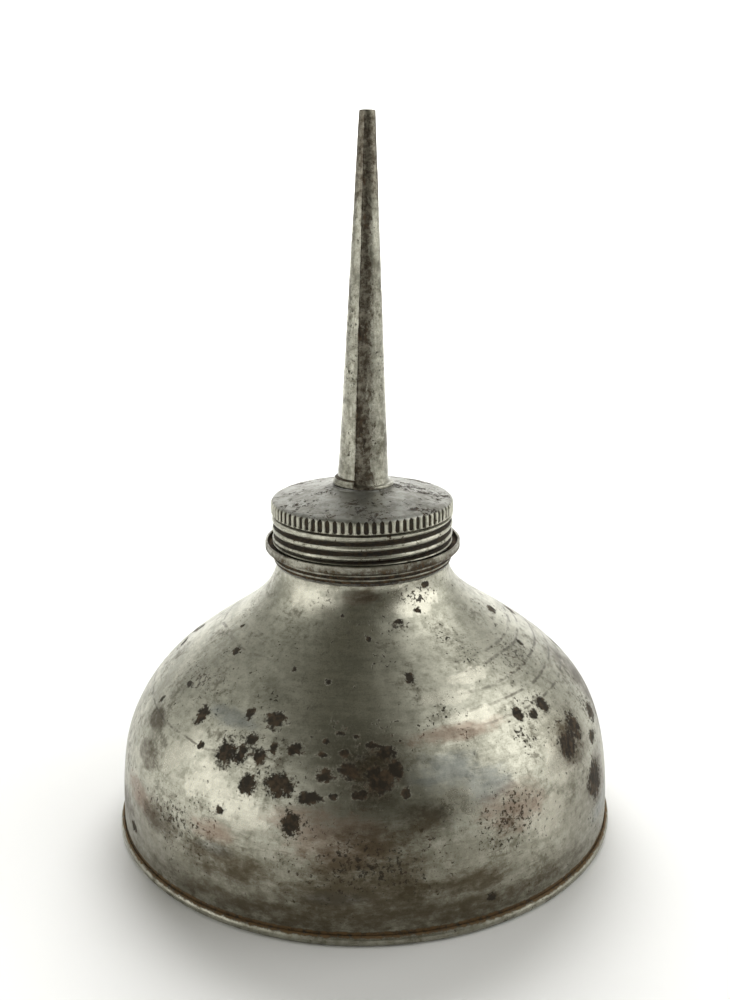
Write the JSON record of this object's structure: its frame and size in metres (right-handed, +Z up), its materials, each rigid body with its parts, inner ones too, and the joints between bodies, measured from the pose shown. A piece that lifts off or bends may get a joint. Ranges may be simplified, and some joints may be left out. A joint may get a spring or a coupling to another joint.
{
  "type": "thumb-pump oil can",
  "caption": "Domed tinplate oil can with a springy push bottom, a knurled screw cap and a long tapered spout.",
  "frame": {"origin": "centre of the rim bead, in the plane that the can stands on", "axes": "+Z up along the can's axis to the spout; the spout leans slightly towards +X; -Y is the side with the spout's seam"},
  "size_m": [0.102, 0.102, 0.1396],
  "materials": {
    "tinplate_body": "aged tin plate with rust blotches and scuffs",
    "tinplate_bottom": "aged tin plate, dull",
    "tinplate_collar": "aged tin plate, dull grey, rust in the corners",
    "tinplate_cap": "aged tin plate, rust in the grooves",
    "tinplate_spout": "aged tin plate, bare steel near the tip",
    "solder": "dull grey soft solder",
    "spring_steel": "dark oiled spring steel",
    "leather_washer": "oil-soaked leather"
  },
  "bodies": {
    "can": {"body_shell": "tinplate_body", "drip_collar": "tinplate_collar", "collar_solder": "solder", "threaded_neck": "tinplate_collar", "neck_solder": "solder", "bottom_disc": "tinplate_bottom", "rim_solder": "solder", "bow_spring": "spring_steel"},
    "press": {"thumb_patch": "tinplate_bottom", "patch_solder": "solder", "spring_rivet": "spring_steel", "rivet_washer": "tinplate_bottom"},
    "gasket": {"cap_gasket": "leather_washer"},
    "cap": {"cap_shell": "tinplate_cap", "spout_tube": "tinplate_spout", "spout_solder": "solder"}
  },
  "joints": [
    {"name": "bottom_press", "type": "slide", "parent": "can", "child": "press", "axis": [0, 0, 1], "range_m": [0, 0.0025], "stiffness_N_per_m": 5000, "deforming": ["bottom_disc", "bow_spring"]},
    {"name": "cap_rise", "type": "slide", "parent": "can", "child": "gasket", "axis": [0, 0, 1], "range_m": [0, 0.01521]},
    {"name": "cap_turn", "type": "hinge", "parent": "gasket", "child": "cap", "pos_m": [0, 0, 0.0666], "axis": [0, 0, 1], "range_deg": [0, 2880]}
  ],
  "couplings": [
    {"joint": "cap_rise", "follows": "cap_turn", "m_per_rad": 0.00030239}
  ]
}
